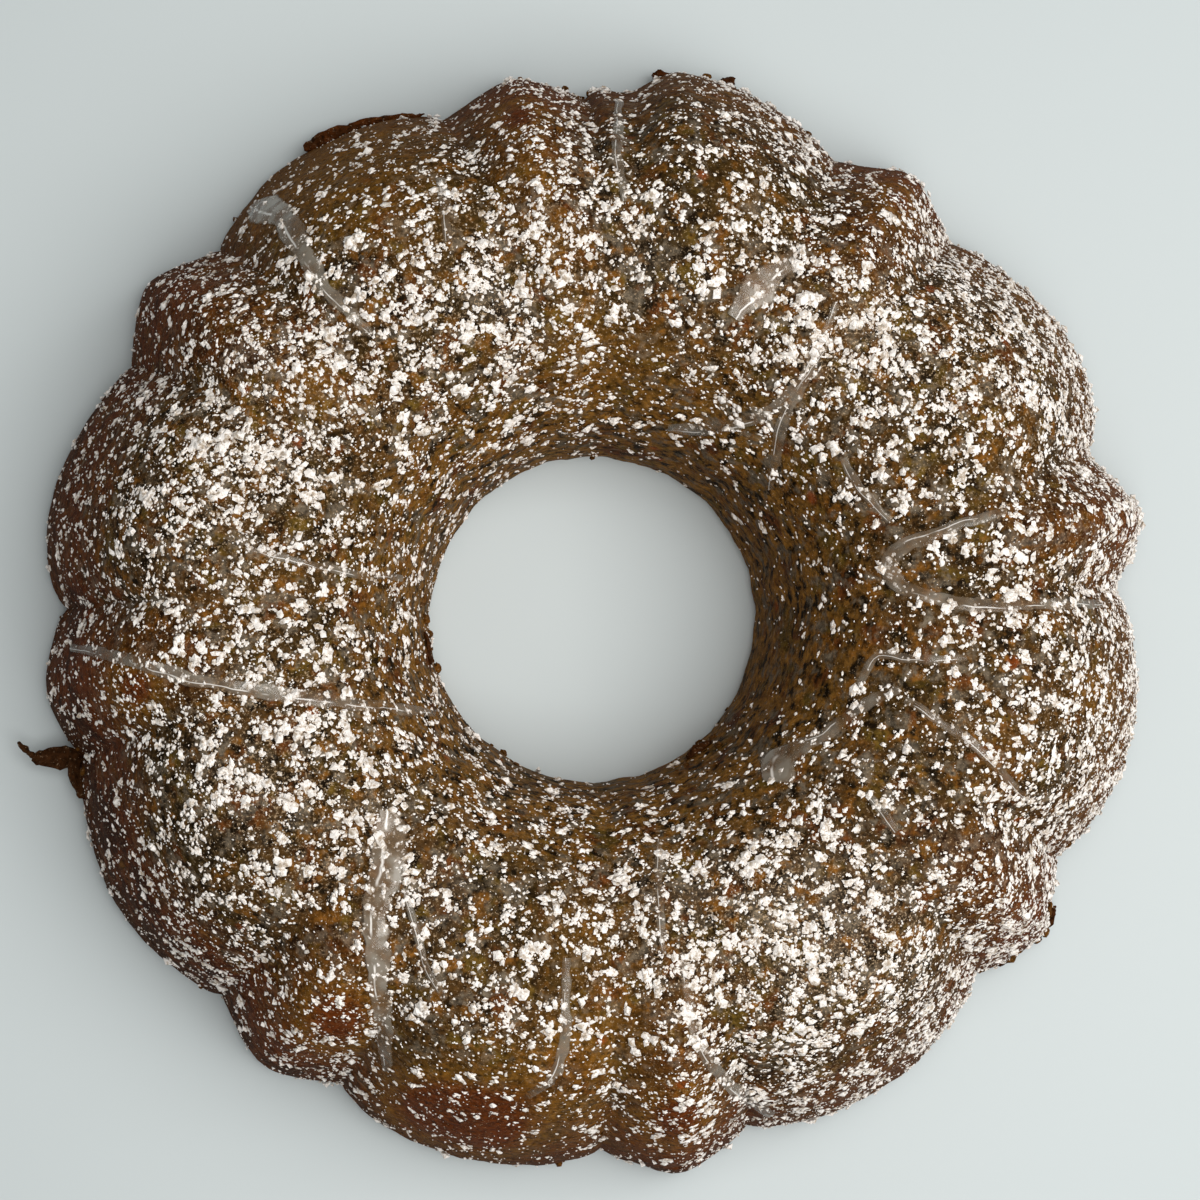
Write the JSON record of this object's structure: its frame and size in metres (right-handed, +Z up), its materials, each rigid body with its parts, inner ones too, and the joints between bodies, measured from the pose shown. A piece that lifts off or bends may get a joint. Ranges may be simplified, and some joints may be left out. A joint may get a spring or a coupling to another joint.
{
  "type": "bundt cake",
  "caption": "Whole ring cake from a fluted pan, with broad lobes, pointed ridges, a middle hole and a dusting of icing sugar.",
  "frame": {"origin": "under the middle of the cake's box, on the surface it stands on", "axes": "+Z up through the middle hole, +X and +Y level; the narrow ridge nearest +X lies 11 degrees round towards +Y"},
  "size_m": [0.2428, 0.2442, 0.0741],
  "materials": {
    "crust": "baked golden to deep brown cake crust, finely pored, dull with a faint sugary sheen",
    "icing_sugar": "dry sifted icing sugar in small soft flecks and clumps",
    "sugar_glaze": "thin, half clear dried sugar glaze"
  },
  "bodies": {
    "root": {"cake": "crust"}
  },
  "joints": []
}
